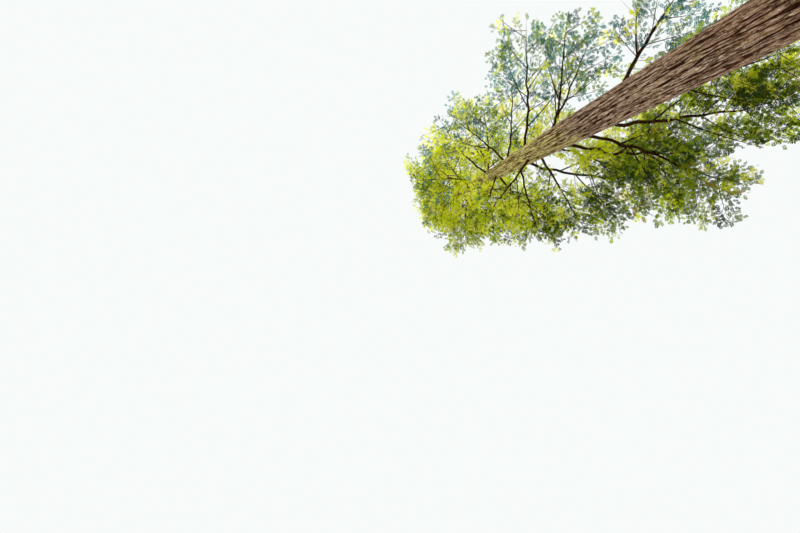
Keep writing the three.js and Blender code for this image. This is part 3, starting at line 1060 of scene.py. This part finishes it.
def make_branchlets(sprays, rng):
    """Finer twigs, left and right along every spray: base, way, face, length, tint, owner."""
    made = []
    for index, points, up, size, _ in sprays:
        line = Line(points)
        along = unit(points[-1] - points[0])
        across = unit(np.cross(along, up))
        over = np.cross(across, along)
        count = max(4, int(size / (BRANCHLET_STEP * coarseness(points[3][2]))))
        t = about(rng, np.arange(count) + 0.5, 0.4, count) / count
        t = BRANCHLET_START + (1 - BRANCHLET_START) * t
        side = np.where(np.arange(count) % 2, 1.0, -1.0)
        swing = np.radians(about(rng, *BRANCHLET_ANGLE, count))
        swing = swing * (1 - 0.4 * t**2)
        lift = 0.35 * rng.normal(size=count)
        way = swung(along, across, swing, side)
        way = unit(way + over * lift[:, None] + [0, 0, -0.12])
        kept = rng.random(count) > OPEN_BRANCHLETS * LIMBS[index].openness
        fullness = np.sin(math.pi * np.clip(0.2 + 0.68 * t, 0, 1)) ** 0.7
        reach = size * BRANCHLET_REACH * fullness * rng.uniform(0.45, 1.25, count)
        reach = np.maximum(reach, BRANCHLET_LEAST)
        weights = tint_weights(points[3])
        chosen = rng.choice(len(TINTS), size=len(SPRAY_TINTS), p=weights / weights.sum())
        tint = chosen[rng.choice(len(SPRAY_TINTS), size=count, p=SPRAY_TINTS)]
        face = unit(over + 0.3 * rng.normal(size=(count, 3)))
        owner = np.full(count, index)
        made.append([a[kept] for a in (line.at(t), way, face, reach, tint, owner)])
        end = np.array([END_BRANCHLET])
        made.append((points[-1:], along[None], over[None], end, tint[:1], owner[:1]))
    return [np.concatenate(column) for column in zip(*made)]


def make_twiglets(base, way, face, reach, tint, owner, rng):
    """The last twigs, which carry the needles: base, way, face, length and tint."""
    coarse = coarseness(base[:, 2])
    count = (reach / (TWIGLET_STEP * coarse)).astype(int) + 1
    who = np.repeat(np.arange(len(base)), count)
    n = len(who)
    rank = np.arange(n) - np.repeat(np.cumsum(count) - count, count)
    last = rank == count[who] - 1
    t = about(rng, rank + 0.7, 0.3, n) / count[who]
    t = np.where(last, 1.0, np.clip(0.12 + 0.85 * t, 0, 0.97))
    along, over = way[who], face[who]
    across = unit(np.cross(along, over))
    side = np.where(rank % 2, 1.0, -1.0)
    swing = np.radians(about(rng, *TWIGLET_ANGLE, n))
    ahead = swung(along, across, np.where(last, 0.1, swing), side)
    ahead = unit(ahead + over * (0.25 * rng.normal(size=n))[:, None] + [0, 0, -0.1])
    start = base[who] + along * (reach[who] * t)[:, None]
    length = TWIGLET_LENGTH * coarse[who] * rng.uniform(0.6, 1.2, n) * (1.1 - 0.3 * t)
    tip = start + ahead * length[:, None]
    keep = inside_box(tip) & in_own_space(owner[who], tip)
    plane = unit(over + 0.25 * rng.normal(size=over.shape))
    return [a[keep] for a in (start, ahead, plane, length, tint[who])]


def needle_mesh(start, ahead, plane, length, tint, rng):
    """Two-ranked needles along each last twig, and the green twig itself, as folded kites."""
    n = len(start)
    across = unit(np.cross(ahead, plane))
    over = np.cross(across, ahead)
    thin = across * TWIGLET_HALF_WIDTH
    middle = start + ahead * (0.4 * length)[:, None]
    kites = [np.stack([start, middle - thin, start + ahead * length[:, None], middle + thin], 1)]
    size = (length / TWIGLET_LENGTH) ** 0.7
    for j in range(NEEDLE_PAIRS * 2):
        t = about(rng, j // 2 + 0.55, 0.25, n) / (NEEDLE_PAIRS + 0.1)
        swing = np.radians(about(rng, *NEEDLE_ANGLE, n)) * (1 - 0.45 * t**3)
        way = swung(ahead, across, swing, 1.0 if j % 2 else -1.0)
        way = unit(way + over * (0.2 * rng.normal(size=n))[:, None])
        wide = unit(np.cross(over, way))
        normal = np.cross(way, wide)
        fullness = 0.65 + 0.35 * np.sin(math.pi * t)
        long = NEEDLE_LENGTH * size * fullness * rng.uniform(0.8, 1.2, n)
        half = 0.5 * NEEDLE_WIDTH * size * rng.uniform(0.8, 1.15, n) * SLIMNESS[tint]
        root = start + ahead * (length * t)[:, None]
        middle = root + way * (long * 0.45)[:, None] - normal * (0.3 * half)[:, None]
        half = wide * half[:, None]
        kites.append(np.stack([root, middle - half, root + way * long[:, None], middle + half], 1))
    verts = np.concatenate(kites).reshape(-1, 3)
    corner = np.arange(len(verts) // 4)[:, None] * 4
    faces = np.stack([corner + [0, 1, 2], corner + [0, 2, 3]], 1).reshape(-1, 3)
    return verts, faces, np.repeat(np.tile(tint, len(kites)), 2)


def make_foliage(name, indices, nodes, twig_bark):
    """The sprays of some limbs, down to their needles: a piece of twigs and one of needles."""
    rng = np.random.default_rng(FOLIAGE_SEED + indices[0])
    sprays = [(index, *spray) for index in indices for spray in sprays_of(index)]
    sprays += tufts_of(indices)
    lines, radii = [], []
    for _, points, _, size, thickness in sprays:
        if thickness:
            lines.append(points)
            root = TWIG_RADIUS * thickness * size**0.6 * coarseness(points[0][2])
            radii.append(root * (1 - 0.8 * np.linspace(0, 1, SPRAY_POINTS)))
    axes = tubes(np.stack(lines), np.stack(radii), 4)
    base, way, face, reach, tint, owner = make_branchlets(sprays, rng)

    def has_room(length):
        tip = base + way * length[:, None]
        return in_own_space(owner, tip) & inside_box(tip)

    for _ in range(2):
        reach = np.where(has_room(reach), reach, reach * 0.55)
    keep = has_room(reach)
    base, way, face, reach, tint, owner = (a[keep] for a in (base, way, face, reach, tint, owner))
    verts, faces = joined([axes, cones(base, way, reach, 0.0035 + 0.008 * reach)])
    twigs = make_piece(f"{name}_twigs", verts, faces, [twig_bark])
    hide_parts(*nodes)
    twiglets = make_twiglets(base, way, face, reach, tint, owner, rng)
    verts, faces, colours = needle_mesh(*twiglets, rng)
    needles = make_piece(f"{name}_needles", verts, [faces], NEEDLES, colours)
    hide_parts(*nodes)


def make_limb_wood(name, indices, nodes, bark):
    """Boughs and stems, from inside the trunk to their tips, and their side limbs."""
    lines, radii = [], []
    for index in indices:
        limb = LIMBS[index]
        share, p = limb_line(limb, WOOD_POINTS, limb.inner * 0.6, 0.995)
        lines.append(p)
        lumps = 1 + LUMPS * noise(np.stack([share * 22, share * 0 + index, share * 0], 1), 31)
        radii.append(limb.radius(share) * lumps * np.clip((1.02 - share) * 6, 0.12, 1))
    limbs = tubes(np.stack(lines), np.stack(radii), WOOD_SIDES)
    forks = [fork for index in indices for fork in forks_of(index)]
    lines = np.stack([line.points for line, _ in forks])
    side_limbs = tubes(lines, np.stack([radius for _, radius in forks]), FORK_SIDES)
    verts, faces = joined([limbs, side_limbs])
    wood = make_piece(name, verts, faces, [bark], smooth=True)
    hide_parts(*nodes)


def make_tree():
    """The trunk, the limbs, and their foliage in groups."""
    make_trunk()
    lower = np.arange(len(BOUGHS))
    upper = np.arange(len(BOUGHS), len(LIMBS))

    def named(kind, indices):
        return [f"{kind}_{LIMBS[i].node}" for i in indices]

    make_limb_wood("boughs", lower, named("bough", lower), BOUGH_BARK)
    make_limb_wood("upper_boughs", upper, named("top_foliage", upper), UPPER_BARK)
    for g, part in enumerate(np.array_split(lower, LOWER_GROUPS)):
        nodes = named("bough_foliage", part)
        make_foliage(f"lower_foliage_{g + 1}", part, nodes, TWIG_BARK)
    for g, part in enumerate(np.array_split(upper, UPPER_GROUPS)):
        nodes = named("top_foliage", part)
        make_foliage(f"top_foliage_group_{g + 1}", part, nodes, UPPER_TWIG_BARK)


# Floor, light and camera


def make_floor():
    turn = np.arange(FLOOR_SIDES) * 2 * math.pi / FLOOR_SIDES
    verts = np.stack([FLOOR_RADIUS * np.cos(turn), FLOOR_RADIUS * np.sin(turn), turn * 0], 1)
    mesh = bpy.data.meshes.new("floor")
    mesh.from_pydata([tuple(v) for v in verts], [], [tuple(range(FLOOR_SIDES))])
    mesh.materials.append(plain("pale_floor", FLOOR_COLOUR, 0.9))
    floor = new_object("floor", mesh)


def make_light():
    """A pale sky that is dimmer towards the ground, and a soft sun high behind the crown."""
    world = bpy.data.worlds.new("pale_sky")
    bpy.context.scene.world = world
    world.use_nodes = True
    tree = world.node_tree
    split = tree.nodes.new("ShaderNodeSeparateXYZ")
    feed(tree, tree.nodes.new("ShaderNodeTexCoord").outputs["Generated"], split.inputs[0])
    level = ranged(tree, split.outputs["Z"], (-1, 1), (0, 1))
    stops = [(0.1, (0.2, 0.2, 0.19)), (0.42, (0.75, 0.75, 0.73)), (0.55, (0.93, 0.96, 0.95))]
    background = tree.nodes["Background"]
    background.inputs["Strength"].default_value = 1.0
    feed(tree, ramp(tree, level, stops), background.inputs["Color"])
    sun = bpy.data.lights.new("soft_sun", "SUN")
    sun.energy = SUN_STRENGTH
    sun.angle = math.radians(SUN_WIDTH)
    sun.color = SUN_COLOUR
    lamp = new_object("soft_sun", sun)
    lamp.rotation_euler = Vector(SUN_WAY).to_track_quat("-Z", "Y").to_euler()


def make_camera():
    """Places the camera so that the zenith and the trunk lie where the photograph has them."""
    focal = LENS / SENSOR_WIDTH * IMAGE_WIDTH

    def ray(pixel):
        across = pixel[0] - IMAGE_WIDTH / 2
        above = IMAGE_HEIGHT / 2 - pixel[1]
        return Vector((across, above, -focal)).normalized()

    up = ray(ZENITH_PIXEL)
    towards = ray(TRUNK_PIXEL)
    towards = (towards - up * towards.dot(up)).normalized()
    right = towards.cross(up)
    turn = Matrix((right, towards, up))
    data = bpy.data.cameras.new("from_the_ground")
    data.lens = LENS
    data.sensor_width = SENSOR_WIDTH
    data.clip_end = VIEW_DEPTH
    camera = new_object("from_the_ground", data)
    camera.matrix_world = Matrix.Translation(CAMERA_PLACE) @ turn.to_4x4()
    bpy.context.scene.camera = camera


make_tree()
make_floor()
make_light()
make_camera()
bpy.context.scene.view_settings.view_transform = "Standard"
